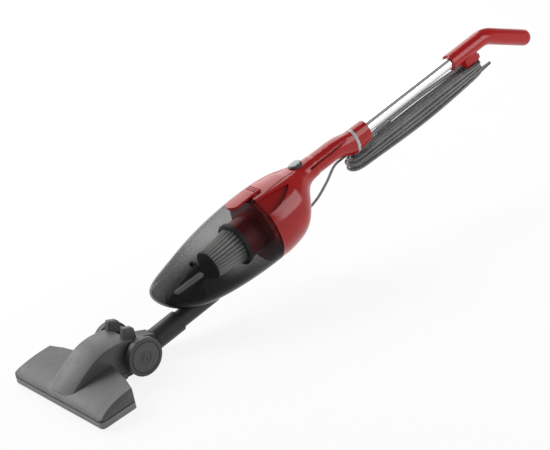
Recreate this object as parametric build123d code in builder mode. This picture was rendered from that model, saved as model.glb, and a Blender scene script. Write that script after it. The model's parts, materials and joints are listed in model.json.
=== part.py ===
"""Upright vacuum cleaner, lying back as it is stored: floor head, tilting neck, smoked dust bin,
red motor body, chrome extension tube, bent handle and a mains cord wound between two hooks.

Millimetres. X runs across the floor head, +Y from its front edge to the handle, +Z up.
The origin is on the sole, under the middle of the floor head.
"""
from build123d import *
import os
from math import cos, pi, radians, sin, tan

# Floor head
head_half_width = 131.0
head_front = -57.0
head_end = 16.0
head_rear = 38.0
head_end_taper = 9.0
head_sweep = 92.0
head_sweep_rise = 10.0
head_wall = 2.4
seam_height = 14.0
head_corner = 8.0
# Rise of the bar's top over the seam, by distance behind the front edge
head_brow = [(0.0, 2.0), (7.0, 7.6), (21.0, 14.0), (65.0, 23.3), (100.0, 25.5)]
head_clear = 40.0
end_lean = 11.5
end_rise = 25.0
end_flare = 0.5
sole_floor = 3.0
slot_half_length = 112.0
slot_width = 20.0
slot_front = -44.0
strip_width = 4.0
strip_depth = 1.4
screw_radius = 2.6
screw_head = 2.0
screw_spread = 70.0
screw_row = 4.0
screw_rear_spread = 22.0
screw_rear_row = 14.0
tail_lap = 10.0
sole_edge = 2.0
seam_reveal = 1.0
reveal_depth = 1.1
strip_recess = 0.2

# Ridge, cheeks and parking ears
ridge_half_width = 35.0
ridge_front = -50.0
ridge_back = 91.0
# Height of the ridge's edges at even steps from its front to its back
ridge_edges = [19.0, 34.4, 47.8, 58.7, 65.7, 68.0, 67.0, 60.0]
ridge_crown = 4.0
ridge_wall = 3.0
cheek_radius = 29.0
cheek_low = 5.0
ridge_round = 4.0
cheek_thickness = 8.0
cheek_lead = 4.0
rear_reach = 40.0
# The ears' outline from the axle: ahead of it at foot and crest, behind it at crest and foot
ear_front = 20.0
ear_crest = 13.0
ear_rear = 4.5
ear_heel = 6.5
ear_fall = 6.0
ear_root = 18.0
ear_inside = 15.3
ear_outside = 28.5
ear_top = 86.0
ear_round = 3.0
air_half_width = 18.0
air_rear = 12.0
air_low = 14.0
air_high = 12.0

# Wheels and axle
wheel_radius = 33.5
wheel_width = 13.0
wheel_gap = 6.0
axle_y = 93.0
pin_radius = 4.0
pin_head_radius = 7.0
pin_head_thickness = 2.0
cap_radius = 26.0
cap_thickness = 2.5
boss_radius = 8.0
wheel_round = 2.0
wheel_web = 3.0
wheel_rim = 6.0
wheel_hub = 9.0
cap_groove = 1.2
cap_eye = 5.0
cap_eye_width = 1.5
cap_ring = 10.5
cap_ring_width = 1.1
cap_relief = 0.8
pin_reach = 4.6

# Running fits
shaft_clearance = 0.05
running_gap = 0.4
seam_gap = 0.3

# Neck
stick_tilt = 10.7
barrel_radius = 27.0
barrel_wall = 3.0
barrel_cheek = 5.0
shoulder = -8.0
sleeve_axis = -20.5
sleeve_start = 50.0
sleeve_end = 106.0
sleeve_radius = 19.25
spigot_radius = 15.6
spigot_wall = 1.8
spigot_start = 55.0
spigot_taper = 185.0
spigot_end = 240.0
sleeve_lip = 1.2
web_half_width = 13.8
# Side of the web over the neck, from the axle: along the stick and above it
web_side = [(6.0, 22.0), (25.0, 12.0), (sleeve_start, -2.0), (sleeve_start, -20.0), (6.0, -20.0)]
neck_root = 8.0
neck_half_width = 22.0
neck_low = -25.5
neck_corner = 6.0
neck_step = 0.6
throat_root = 12.0
throat_half_width = 17.0
throat_low = -22.0
throat_high = -11.0
throat_corner = 4.0
spigot_stop = 5.0

# Hull of the dust bin and motor body
seam_at = 316.0
bin_length = 237.0
nose_turn = 7.0
bin_steps = 12
nose_lift = 21.0
nose_lift_reach = 0.42
hull_axis = 29.0
hull_half_height = 68.6
hull_half_width = 63.0
hull_clear = 80.0
body_length = 241.0
# Sections behind the seam: distance, lift of the centre, share of the full size
body_rows = [
    (0.0, 0.0, 1.0), (15.0, 0.0, 0.999), (30.0, 0.0, 0.99), (45.0, 0.6, 0.966), (60.0, 1.6, 0.926),
    (74.0, 4.4, 0.857), (88.0, 9.6, 0.727), (101.0, 18.7, 0.553), (114.0, 26.5, 0.397),
    (130.0, 30.4, 0.31), (150.0, 31.2, 0.275),
]
flare_axis = 48.5
flare_half_height = 24.0
flare_half_width = 15.5
crease_turn = 65.0
crown_share = 0.955
bin_wall = 2.2

# Inside the dust bin
duct_radius = 17.0
duct_wall = 1.8
duct_front = 116.0
duct_front_rise = 16.0
duct_length = 66.0
duct_slope = 13.0
riser_at = 150.0
riser_length = 46.0
riser_width = 28.0
riser_height = 62.0
riser_bore_height = 54.0
lug_thickness = 2.5
lug_height = 7.0
lug_length = 8.0
lug_lap = 5.0
lug_drop = 1.5
flap_lug = 9.0
flap_lift = 1.8
flap_margin = 0.6
flap_tab = 12.0
flap_eye = 2.2
flap_eye_gap = 2.0
flap_thickness = 1.2
flap_pin_radius = 1.0
filter_axis = 30.0
filter_front = 200.0
filter_length = 60.0
filter_small_radius = 26.0
filter_large_radius = 33.0
pleat_depth = 4.5
pleat_count = 26
filter_bore = 19.0
filter_cap_thickness = 3.0
filter_cap_lip = 0.8
filter_cap_round = 1.2
filter_ring_thickness = 7.0
filter_ring_radius = 40.0
seat_tube_radius = 36.0
seat_wall = 3.0
seat_plate = 9.0
seal_width = 0.9
seal_height = 4.0
seal_setback = 2.0

# Motor
cavity_radius = 46.0
cavity_length = 70.0
motor_radius = 35.0
motor_start = 340.0
shroud_radius = 44.0
shroud_height = 15.0
shroud_wall = 2.0
impeller_radius = 39.0
impeller_height = 9.0
vane_count = 9
motor_shaft_radius = 3.0
motor_flange = 5.0
motor_bearing = 20.0
motor_chamfer = 3.0
flange_hole_count = 8
flange_hole_radius = 2.5
flange_hole_ring = 39.5
shaft_setback = 2.0
impeller_gap = 1.5
impeller_plate = 1.5
vane_thickness = 1.2
vane_setback = 1.0
mount_depth = 6.0
shroud_eye = 16.0
impeller_hub = 8.0
vane_turn = 35.0
mount_ring = 8.0
mount_cap_radius = 14.0

# Latch, spine and switch on the top of the motor body
latch_front = 275.0
latch_rear = 340.0
latch_half_width = 14.0
latch_thickness = 4.5
latch_lift = 1.5
latch_pin_at = 322.0
latch_pin_radius = 1.5
latch_pocket = 7.5
latch_rib = 1.2
latch_rib_count = 3
latch_rib_width = 2.0
latch_rib_pitch = 4.0
latch_rib_margin = 3.0
latch_pin_depth = 3.0
latch_pin_reach = 4.0
latch_side_gap = 0.8
latch_end_gap = 1.0
latch_knuckle = 8.0
latch_knuckle_drop = 2.8
latch_knuckle_margin = 2.0
spine_half_width = 24.0
spine_rise = 1.2
spine_shoulder = 20.0
spine_end = 414.0
switch_at = 430.0
switch_length = 27.0
switch_width = 19.0
switch_top = 86.0
switch_depth = 12.0
bezel_round = 1.5
bezel_base = 2.0
button_round = 1.0
button_length = 22.0
button_width = 14.0
button_travel = 2.5
button_rise = 2.2
switch_box_width = 13.0
switch_box_length = 20.0
switch_box_depth = 11.0
scoop_depth = 10.0
scoop_turn = 45.0
scoop_side = 40.0
scoop_height = 80.0
# Outline of the scoop: distance behind the seam and place across it
scoop_upper = [(-5.0, -14.0), (-5.0, 16.5), (18.0, 16.0), (70.0, 8.0)]
scoop_lower = [(70.0, 8.0), (42.0, -9.0), (16.0, -15.0)]
vent_middle = 48.0
vent_count = 7
vent_pitch = 9.0
vent_length = 34.0
vent_width = 4.0
groove_start = 446.0
groove_height = 66.0
groove_width = 4.2
groove_floor = 11.5

# Extension tube and handle
ring_length = 6.0
ring_rise = 0.3
collar_length = 30.0
collar_axis = 50.5
collar_half_height = 21.0
collar_half_width = 15.0
chrome_axis = 54.5
chrome_radius = 10.8
chrome_wall = 1.0
chrome_seat = 22.0
handle_start = 815.0
handle_socket = 55.0
handle_straight = 79.0
grip_radius = 15.5
grip_turn = 33.0
grip_bend = 55.0
grip_length = 88.0

# Cord and hooks
cord_radius = 2.5
cord_gap = 0.65
cord_sides = 8
cord_seat = 6.0
post_radius = 4.2
lower_post_at = 551.0
upper_post_at = 862.0
hook_tip_radius = 5.0
hook_tip_sink = 3.0
hook_half_width = 6.0
hook_toe_width = 1.2
hank_top = 24.2
hank_waist = 12.0
waist_step = 6.0
loops_per_layer = 2
layer_count = 4
post_share = 0.92
lead_side = 18.5
lead_stop = 10.0
lead_reach = 20.0
corner_share = 0.45
lead_route = [(-2.5, 462.0, 2.5), (-7.0, 487.0, 11.5), (-13.5, 506.0, 18.5)]
plug_side = 38.0
plug_at = 640.0
plug_height = 8.0
bracket_half_width = 9.0
bracket_length = 34.0
bracket_round = 3.0
chrome_cover = 1.5
hook_root = 8.0
hook_toe = 45.0
hook_thickness = 4.5
flange_thickness = 1.5
finger_reach = 22.0
finger_thickness = 2.5
finger_height = 8.0
gland_radius = 5.0
gland_tip_radius = 3.3
gland_tilt = 10.0
gland_height = -13.0
gland_length = 38.0
gland_root = 10.0
gland_setback = 2.0
gland_lead = 18.0
plug_radius = 13.0
plug_length = 30.0
plug_round = 5.0
plug_tail_radius = 4.5
prong_chamfer = 0.6
prong_radius = 2.0
prong_length = 19.0
prong_spread = 9.5

os.makedirs("parts", exist_ok=True)

# The stick's own directions: along it from the axle to the handle, and above it
axle = Vector(0, axle_y, wheel_radius)
along = Vector(0, cos(radians(stick_tilt)), sin(radians(stick_tilt)))
above = Vector(0, -sin(radians(stick_tilt)), cos(radians(stick_tilt)))
across_x = Vector(1, 0, 0)


def spot(x, u, n):
    """Point x to the side of the stick, u along it from the axle and n above the axle line."""
    return axle + across_x * x + along * u + above * n


def across(u):
    """Plane square to the stick at u. Its y is n, and an extrusion runs towards the handle."""
    return Plane(origin=spot(0, u, 0), x_dir=(-1, 0, 0), z_dir=along)


def beside(x):
    """Plane at x whose coordinates are u and n."""
    return Plane(origin=spot(x, 0, 0), x_dir=along, z_dir=across_x)


def over(n):
    """Plane at height n whose coordinates are x and u."""
    return Plane(origin=spot(0, 0, n), x_dir=across_x, z_dir=above)


def stick_axis(n):
    """Axis along the stick at height n."""
    return Axis(spot(0, 0, n), along)


def save(piece, label):
    """Label a finished piece and write it."""
    piece.label = label
    export_step(piece, f"parts/{label}.step")


def bin_stations(grow):
    """Sections of the bin, a half ellipsoid whose tip is lifted: u, centre, half height, half width."""
    rows = []
    for step in range(bin_steps + 1):
        turn = nose_turn + (90 - nose_turn) * step / bin_steps
        ahead = cos(radians(turn))
        size = sin(radians(turn))
        lift = nose_lift * max(0.0, 1 - (1 - ahead) / nose_lift_reach) ** 2.5
        u = seam_at - (bin_length + grow) * ahead
        rows.append((u, hull_axis + lift, hull_half_height * size + grow, hull_half_width * size + grow))
    return rows


def body_stations(grow):
    """Sections of the body from the seam to the root of the shaft, spaced evenly over its round back."""
    rows = []
    for behind, lift, size in body_rows:
        u = seam_at + behind
        rows.append((u, hull_axis + lift, hull_half_height * size + grow, hull_half_width * size + grow))
    return rows


def shaft_stations(grow):
    """Sections of the shaft, which flares downwards at its end."""
    first = body_stations(grow)[-1]
    rows = [first]
    span = body_length - body_rows[-1][0]
    for share, drop in ((0.25, 0.0), (0.5, 0.03), (0.72, 0.35), (0.88, 0.82), (1.0, 1.0)):
        centre = first[1] + (flare_axis - first[1]) * drop
        tall = first[2] + (flare_half_height + grow - first[2]) * drop
        wide = first[3] + (flare_half_width + grow - first[3]) * drop
        rows.append((first[0] + span * share, centre, tall, wide))
    return rows


def crowned(u, centre, tall, wide):
    """A round belly closed by a flatter crown between two creases."""
    with BuildSketch(across(u)) as outline:
        with BuildLine():
            belly = EllipticalCenterArc((0, centre), wide, tall, start_angle=180 - crease_turn,
                                        arc_size=180 + 2 * crease_turn)
            ThreePointArc(belly @ 1, (0, centre + tall * crown_share), belly @ 0)
        make_face()
    return outline.sketch


def lofted(stations):
    """A smooth form through crowned sections."""
    with BuildPart() as form:
        loft([crowned(*station) for station in stations])
    return form.part


def prism(plane, points, amount):
    """Straight-sided piece from a list of corners."""
    with BuildPart() as piece:
        with BuildSketch(plane):
            with BuildLine():
                Polyline(*points, close=True)
            make_face()
        extrude(amount=amount)
    return piece.part


def rod(plane, radius, length, centre=(0, 0)):
    """Round bar standing on a plane."""
    with BuildPart() as piece:
        with BuildSketch(plane):
            with Locations(centre):
                Circle(radius)
        extrude(amount=length)
    return piece.part


def slot_block(plane, length, width, amount, centre=(0, 0)):
    """Block with round ends, long in the plane's y."""
    with BuildPart() as piece:
        with BuildSketch(plane):
            with Locations(centre):
                SlotOverall(length, width, rotation=90)
        extrude(amount=amount)
    return piece.part


def head_prism(bottom, height, inset=0.0):
    """Plan of the floor head, raised from bottom."""
    right = [
        (head_half_width, head_front), (head_half_width - head_end_taper, head_end),
        (head_sweep, head_end + head_sweep_rise), (ridge_half_width, head_rear),
    ]
    left = [(-x, y) for x, y in reversed(right)]
    with BuildPart() as block:
        with BuildSketch(Plane.XY.offset(bottom)) as plan:
            with BuildLine():
                Polyline(*right, *left, close=True)
            make_face()
            fillet(plan.vertices().group_by(Axis.Y)[0], head_corner)
            if inset:
                offset(amount=-inset)
        extrude(amount=height)
    return block.part


def head_side(inset=0.0):
    """Side view of the bar, a low brow that rises to the rear, as wide as the head."""
    base = seam_height - inset
    crown = [(head_front + inset + back, base + rise) for back, rise in head_brow]
    with BuildPart() as block:
        with BuildSketch(Plane.YZ):
            with BuildLine():
                top = Spline(*crown)
                Polyline(top @ 1, ((top @ 1).X, base), ((top @ 0).X, base), top @ 0)
            make_face()
        extrude(amount=head_half_width + head_wall, both=True)
    return block.part


def ridge(half_width, inset=0.0):
    """The crowned ridge that rises over the head to the axle."""
    step = (ridge_back - ridge_front) / (len(ridge_edges) - 1)
    sections = []
    for index, edge in enumerate(ridge_edges):
        with BuildSketch(Plane.XZ.offset(-ridge_front - step * index)) as section:
            with BuildLine():
                Polyline((-half_width, edge - inset), (-half_width, seam_height - inset),
                         (half_width, seam_height - inset), (half_width, edge - inset))
                ThreePointArc((half_width, edge - inset), (0, edge + ridge_crown - inset),
                              (-half_width, edge - inset))
            make_face()
        sections.append(section.sketch)
    with BuildPart() as block:
        loft(sections)
    return block.part


def cheeks(half_width):
    """The block behind the ridge, round about the axle."""
    with BuildPart() as block:
        with BuildSketch(Plane.YZ):
            with Locations((axle_y, wheel_radius)):
                Circle(cheek_radius)
            with BuildLine():
                Polyline((cheek_front, cheek_low), (axle_y, wheel_radius - cheek_radius),
                         (axle_y, wheel_radius + cheek_radius - ridge_round),
                         (cheek_front, ridge_edges[-2] - ridge_round), close=True)
            make_face()
        extrude(amount=half_width, both=True)
    return block.part


# Nozzle cover: bar, ridge, cheeks and ears in one moulding
cheek_inside = ridge_half_width - cheek_thickness
barrel_half_width = cheek_inside - running_gap
cheek_front = axle_y - barrel_radius - cheek_lead
end_slope = [
    (head_half_width + end_flare, seam_height), (head_half_width - end_lean, seam_height + end_rise),
    (head_half_width - end_lean, seam_height + head_clear),
]
with BuildPart() as bar:
    add(head_prism(seam_height, head_clear))
    add(head_side(), mode=Mode.INTERSECT)
    with BuildSketch(Plane.XZ):
        with BuildLine():
            Polyline(*end_slope, *[(-x, z) for x, z in reversed(end_slope)], close=True)
        make_face()
    extrude(amount=2 * head_half_width, both=True, mode=Mode.INTERSECT)

with BuildPart() as ridge_block:
    add(ridge(ridge_half_width))
    long_edges = ridge_block.edges().filter_by(lambda edge: edge.length > ridge_back - ridge_front)
    fillet(long_edges.filter_by(lambda edge: edge.center().Z > seam_height + ridge_round), ridge_round)
    add(cheeks(ridge_half_width))

ear_side = [
    (axle_y - ear_front, ridge_edges[-2] - ridge_round), (axle_y - ear_crest, ear_top),
    (axle_y + ear_rear, ear_top - ear_fall), (axle_y + ear_heel, wheel_radius + ear_root),
    (axle_y - ear_front, wheel_radius + ear_root),
]
with BuildPart() as ear:
    add(prism(Plane.YZ.offset(ear_inside), ear_side, ear_outside - ear_inside))
    fillet(ear.edges().filter_by(lambda edge: edge.center().Z > ear_top - 2 * ear_fall), ear_round)

with BuildPart() as bar_hollow:
    add(head_prism(seam_height - head_wall, head_clear, head_wall))
    add(head_side(head_wall), mode=Mode.INTERSECT)

with BuildPart() as ridge_hollow:
    add(ridge(ridge_half_width - ridge_wall, ridge_wall))
    split(bisect_by=Plane.XZ.offset(-cheek_front), keep=Keep.TOP)



def side_box(half_width, front, rear, low, high):
    """Box that is even about the middle, between two places in Y and two heights."""
    corners = [(front, low), (rear, low), (rear, high), (front, high)]
    return prism(Plane.YZ.offset(-half_width), corners, 2 * half_width)


def air_room(front):
    """The passage for air through the front of the barrel."""
    return side_box(air_half_width, front, axle_y - air_rear, wheel_radius - air_low,
                    wheel_radius + air_high)


barrel_top = wheel_radius + barrel_radius + running_gap
barrel_room = rod(Plane.YZ.offset(-cheek_inside), barrel_radius + running_gap, 2 * cheek_inside,
                  (axle_y, wheel_radius))
rear_room = side_box(cheek_inside, axle_y, axle_y + rear_reach, 0, barrel_top)
pocket = side_box(ear_inside, axle_y - ear_crest, axle_y + rear_reach, wheel_radius, 2 * ear_top)
air_way = air_room(cheek_front - cheek_lead)

with BuildPart() as nozzle_cover:
    add(bar.part)
    add(ridge_block.part)
    add(ear.part)
    add(mirror(ear.part, about=Plane.YZ, mode=Mode.PRIVATE))
    for side in (-1, 1):
        with BuildSketch(Plane.YZ.offset(side * ridge_half_width)):
            with Locations((axle_y, wheel_radius)):
                Circle(boss_radius)
        extrude(amount=side * (wheel_gap - running_gap))
    add(bar_hollow.part, mode=Mode.SUBTRACT)
    add(ridge_hollow.part, mode=Mode.SUBTRACT)
    for room in (barrel_room, rear_room, pocket, air_way):
        add(room, mode=Mode.SUBTRACT)
    add(rod(Plane.YZ.offset(-head_half_width), pin_radius, 2 * head_half_width, (axle_y, wheel_radius)),
        mode=Mode.SUBTRACT)
save(nozzle_cover.part, "nozzle_cover")

# Sole plate: a shallow tray with the suction slot, strip grooves and screw holes
strip_rows = (slot_front - strip_width, slot_front + slot_width + strip_width)
screw_places = []
for x, y in ((screw_spread, screw_row), (screw_rear_spread, cheek_front - screw_rear_row)):
    screw_places += [(-x, y), (x, y)]
tail_middle = (head_rear + cheek_front - tail_lap) / 2
tail_length = cheek_front - head_rear + tail_lap
with BuildPart() as reveal:
    add(head_prism(seam_height - seam_reveal, seam_reveal))
    add(head_prism(seam_height - seam_reveal, seam_reveal, reveal_depth), mode=Mode.SUBTRACT)

with BuildPart() as sole_plate:
    add(head_prism(0.0, seam_height))
    with BuildSketch(Plane.XY.offset(sole_floor)):
        with Locations((0, tail_middle)):
            Rectangle(2 * ridge_half_width, tail_length)
    extrude(amount=seam_height - sole_floor)
    chamfer(sole_plate.faces().sort_by(Axis.Z)[0].edges(), sole_edge)
    add(head_prism(sole_floor, seam_height, head_wall), mode=Mode.SUBTRACT)
    add(reveal.part, mode=Mode.SUBTRACT)
    with BuildSketch(Plane.XY.offset(2 * sole_floor)):
        with Locations((0, tail_middle - ridge_wall)):
            Rectangle(2 * (ridge_half_width - ridge_wall), tail_length)
    extrude(amount=seam_height, mode=Mode.SUBTRACT)
    with BuildSketch():
        with Locations((0, slot_front + slot_width / 2)):
            Rectangle(2 * slot_half_length, slot_width)
    extrude(amount=seam_height, mode=Mode.SUBTRACT)
    with BuildSketch():
        with Locations(*[(0, row) for row in strip_rows]):
            Rectangle(2 * slot_half_length, strip_width)
    extrude(amount=strip_depth, mode=Mode.SUBTRACT)
    with BuildSketch():
        with Locations(*screw_places):
            Circle(screw_radius)
    extrude(amount=3 * sole_floor, mode=Mode.SUBTRACT)
save(sole_plate.part, "sole_plate")

with BuildPart() as lint_strips:
    with BuildSketch(Plane.XY.offset(strip_recess)):
        with Locations(*[(0, row) for row in strip_rows]):
            Rectangle(2 * slot_half_length, strip_width)
    extrude(amount=strip_depth - strip_recess)
save(lint_strips.part, "lint_strips")

with BuildPart() as sole_screws:
    for x, y in screw_places:
        floor = sole_floor if y < head_rear else 2 * sole_floor
        with BuildSketch(Plane.XY.offset(floor - screw_head)):
            with Locations((x, y)):
                Circle(screw_radius)
        extrude(amount=screw_head)
save(sole_screws.part, "sole_screws")

# Axle pins, wheels and wheel caps, on the right and mirrored to the left
wheel_inside = ridge_half_width + wheel_gap
wheel_outside = wheel_inside + wheel_width
cap_seat = wheel_outside - cap_thickness
head_seat = cap_seat - pin_head_thickness
axle_spot = (axle_y, wheel_radius)


def disc(x, radius, thickness):
    """Disc about the axle whose inner face is at x."""
    return rod(Plane.YZ.offset(x), radius, thickness, axle_spot)


pin_inside = barrel_half_width - pin_reach
pin_shoulder = head_seat + running_gap
with BuildPart() as axle_pin:
    add(disc(pin_inside, pin_radius, pin_shoulder - pin_inside))
    add(disc(pin_shoulder, pin_head_radius, pin_head_thickness - 2 * running_gap))

with BuildPart() as wheel:
    add(disc(wheel_inside, wheel_radius, wheel_width))
    fillet(wheel.edges().filter_by(GeomType.CIRCLE), wheel_round)
    add(disc(wheel_inside, pin_radius + shaft_clearance, wheel_width), mode=Mode.SUBTRACT)
    add(disc(head_seat, pin_head_radius + running_gap, wheel_width), mode=Mode.SUBTRACT)
    add(disc(cap_seat, cap_radius + cap_groove, wheel_width), mode=Mode.SUBTRACT)
    with BuildSketch(Plane.YZ.offset(wheel_inside)):
        with Locations(axle_spot):
            Circle(wheel_radius - wheel_rim)
            Circle(wheel_hub, mode=Mode.SUBTRACT)
    extrude(amount=wheel_width - cap_thickness - wheel_web, mode=Mode.SUBTRACT)

with BuildPart() as wheel_cap:
    add(disc(cap_seat, cap_radius, cap_thickness))
    with BuildSketch(Plane.YZ.offset(wheel_outside)):
        with Locations(axle_spot):
            Circle(cap_eye)
            Circle(cap_eye - cap_eye_width, mode=Mode.SUBTRACT)
    extrude(amount=cap_relief)
    with BuildSketch(Plane.YZ.offset(wheel_outside - cap_relief)):
        with Locations(axle_spot):
            Circle(cap_ring)
            Circle(cap_ring - cap_ring_width, mode=Mode.SUBTRACT)
    extrude(amount=cap_relief, mode=Mode.SUBTRACT)

for label, right_piece in (("axle_pin", axle_pin), ("wheel", wheel), ("wheel_cap", wheel_cap)):
    save(right_piece.part, f"{label}_right")
    save(mirror(right_piece.part, about=Plane.YZ), f"{label}_left")

# Neck: knuckle on the axle pins, sleeve around the inlet spigot
throat_radius = spigot_radius - spigot_wall
drum_half_width = barrel_half_width - barrel_cheek


def necked(start, half_width, low, high, corner, radius):
    """Loft from a flat box behind the barrel to a round end at the sleeve."""
    with BuildSketch(across(start)) as root:
        with Locations((0, (low + high) / 2)):
            RectangleRounded(2 * half_width, high - low, corner)
    with BuildSketch(across(sleeve_start)) as end:
        with Locations((0, sleeve_axis)):
            Circle(radius)
    with BuildPart() as form:
        loft([root.sketch, end.sketch])
    return form.part


with BuildPart() as neck_knuckle:
    add(disc(-barrel_half_width, barrel_radius, 2 * barrel_half_width))
    add(necked(neck_root, neck_half_width, neck_low, shoulder, neck_corner, sleeve_radius - neck_step))
    add(prism(beside(-web_half_width), web_side, 2 * web_half_width))
    add(disc(-drum_half_width, barrel_radius - barrel_wall, 2 * drum_half_width), mode=Mode.SUBTRACT)
    add(necked(throat_root, throat_half_width, throat_low, throat_high, throat_corner, throat_radius),
        mode=Mode.SUBTRACT)
    add(air_room(axle_y - rear_reach), mode=Mode.SUBTRACT)
    add(disc(-barrel_half_width, pin_radius + shaft_clearance, 2 * barrel_half_width), mode=Mode.SUBTRACT)
save(neck_knuckle.part, "neck_knuckle")

with BuildPart() as neck_sleeve:
    with BuildSketch(across(sleeve_start)):
        with Locations((0, sleeve_axis)):
            Circle(sleeve_radius)
            Circle(spigot_radius + shaft_clearance, mode=Mode.SUBTRACT)
    extrude(amount=sleeve_end - sleeve_start)
    fillet(neck_sleeve.faces().sort_by(stick_axis(0))[-1].edges().sort_by(SortBy.RADIUS)[-1], sleeve_lip)
save(neck_sleeve.part, "neck_sleeve")

# Dust bin with the spigot let into its underside
bin_outside = lofted(bin_stations(0))
bin_inside = lofted(bin_stations(-bin_wall))
with BuildPart() as spigot_form:
    add(rod(across(spigot_start), spigot_radius, spigot_taper - spigot_start, (0, sleeve_axis)))
    with BuildSketch(across(spigot_taper)) as thick:
        with Locations((0, sleeve_axis)):
            Circle(spigot_radius)
    with BuildSketch(across(spigot_end)) as thin:
        with Locations((0, sleeve_axis)):
            Circle(spigot_radius / 2)
    loft([thick.sketch, thin.sketch])

with BuildPart() as inlet_spigot:
    add(spigot_form.part)
    add(rod(across(spigot_start), throat_radius, spigot_taper - spigot_start - spigot_stop,
            (0, sleeve_axis)), mode=Mode.SUBTRACT)
    add(bin_inside, mode=Mode.SUBTRACT)
save(inlet_spigot.part, "inlet_spigot")

with BuildPart() as dust_bin:
    add(bin_outside)
    add(bin_inside, mode=Mode.SUBTRACT)
    add(spigot_form.part, mode=Mode.SUBTRACT)
save(dust_bin.part, "dust_bin")

# Inlet duct with a flap valve at its mouth
duct_way = along * cos(radians(duct_slope)) + above * sin(radians(duct_slope))
duct_start = spot(0, duct_front, duct_front_rise)


def duct_plane(distance):
    """Plane square to the duct. Its y points up from the duct's axis."""
    return Plane(origin=duct_start + duct_way * distance, x_dir=(-1, 0, 0), z_dir=duct_way)


flap_hinge_height = duct_radius + flap_pin_radius + flap_lift
flap_seat = duct_length + seam_gap
hinge_depth = flap_seat + flap_thickness / 2


def hinge_rod(radius, half_length):
    """Rod along the flap's hinge."""
    hinge = duct_start + duct_way * hinge_depth + duct_plane(0).y_dir * flap_hinge_height
    return rod(Plane(origin=hinge - across_x * half_length, z_dir=across_x), radius, 2 * half_length)


riser_foot = over(sleeve_axis - spigot_radius)
riser_inset = 2 * duct_wall
with BuildPart() as inlet_duct:
    add(rod(duct_plane(0), duct_radius, duct_length))
    with Locations(duct_start):
        Sphere(duct_radius)
    add(slot_block(riser_foot, riser_length, riser_width, riser_height, (0, riser_at)))
    add(rod(duct_plane(0), duct_radius - duct_wall, duct_length), mode=Mode.SUBTRACT)
    add(slot_block(riser_foot, riser_length - riser_inset, riser_width - riser_inset, riser_bore_height,
                   (0, riser_at)), mode=Mode.SUBTRACT)
    for side in (-1, 1):
        with BuildSketch(duct_plane(duct_length - lug_lap)):
            with Locations((side * flap_lug, flap_hinge_height - lug_drop)):
                Rectangle(lug_thickness, lug_height)
        extrude(amount=lug_length)
    add(hinge_rod(flap_pin_radius, flap_lug + lug_thickness), mode=Mode.SUBTRACT)
    add(bin_inside, mode=Mode.INTERSECT)
save(inlet_duct.part, "inlet_duct")

save(hinge_rod(flap_pin_radius, flap_lug + flap_eye_gap), "flap_pin")

with BuildPart() as flap_valve:
    with BuildSketch(duct_plane(flap_seat)):
        Circle(duct_radius - flap_margin)
        with Locations((0, duct_radius / 2 + flap_pin_radius)):
            Rectangle(flap_tab, duct_radius)
    extrude(amount=flap_thickness)
    add(hinge_rod(flap_eye, flap_lug - flap_eye_gap))
    add(hinge_rod(flap_pin_radius + shaft_clearance, flap_lug), mode=Mode.SUBTRACT)
save(flap_valve.part, "flap_valve")

# Filter: pleated cone between a cap and a ring
filter_rear = filter_front + filter_length


def pleated(u, radius):
    """Star outline of the pleats."""
    with BuildSketch(across(u)) as star:
        with BuildLine():
            Polyline(*[((radius - pleat_depth * (step % 2)) * cos(pi * step / pleat_count),
                        filter_axis + (radius - pleat_depth * (step % 2)) * sin(pi * step / pleat_count))
                       for step in range(2 * pleat_count)], close=True)
        make_face()
    return star.sketch


with BuildPart() as filter_cone:
    loft([pleated(filter_front, filter_small_radius), pleated(filter_rear, filter_large_radius)], ruled=True)
    add(rod(across(filter_front), filter_bore, filter_length, (0, filter_axis)), mode=Mode.SUBTRACT)
save(filter_cone.part, "filter_cone")

with BuildPart() as filter_cap:
    add(rod(across(filter_front - filter_cap_thickness), filter_small_radius + filter_cap_lip,
            filter_cap_thickness, (0, filter_axis)))
    fillet(filter_cap.faces().sort_by(stick_axis(0))[0].edges(), filter_cap_round)
save(filter_cap.part, "filter_cap")

with BuildPart() as filter_ring:
    with BuildSketch(across(filter_rear)):
        with Locations((0, filter_axis)):
            Circle(filter_ring_radius)
            Circle(filter_bore, mode=Mode.SUBTRACT)
    extrude(amount=filter_ring_thickness)
save(filter_ring.part, "filter_ring")

# Filter seat: plate inside the bin's mouth with a tube to the filter ring
body_front = seam_at + seam_gap


def mouth_plate(inset, front, rear):
    """Slice of the bin's inside, drawn in, between two distances along the stick."""
    with BuildPart() as plate:
        add(lofted(bin_stations(-inset)))
        extrude(crowned(*bin_stations(-inset)[-1]), amount=seam_gap, dir=along)
        split(bisect_by=across(front), keep=Keep.TOP)
        split(bisect_by=across(rear), keep=Keep.BOTTOM)
    return plate.part


seat_front = body_front - seat_plate
seat_root = filter_rear + filter_ring_thickness
seal_front = seat_front + seal_setback
seal_inset = bin_wall + seam_gap
with BuildPart() as filter_seat:
    add(mouth_plate(seal_inset + seal_width, seat_front, body_front))
    add(rod(across(seat_root), seat_tube_radius, seat_front - seat_root, (0, filter_axis)))
    add(rod(across(seat_root), seat_tube_radius - seat_wall, body_length, (0, filter_axis)),
        mode=Mode.SUBTRACT)
save(filter_seat.part, "filter_seat")

with BuildPart() as bin_seal:
    add(mouth_plate(seal_inset, seal_front, seal_front + seal_height))
    add(mouth_plate(seal_inset + seal_width, seal_front, seal_front + seal_height), mode=Mode.SUBTRACT)
save(bin_seal.part, "bin_seal")

# Motor in the cavity of the body: shroud, impeller and shaft, can and its rubber mounts
cavity_end = body_front + cavity_length
flange_start = motor_start - motor_flange
can_end = cavity_end - mount_depth


def about_motor(u, radius, length):
    """Disc on the motor's axis."""
    return rod(across(u), radius, length, (0, hull_axis))


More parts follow.
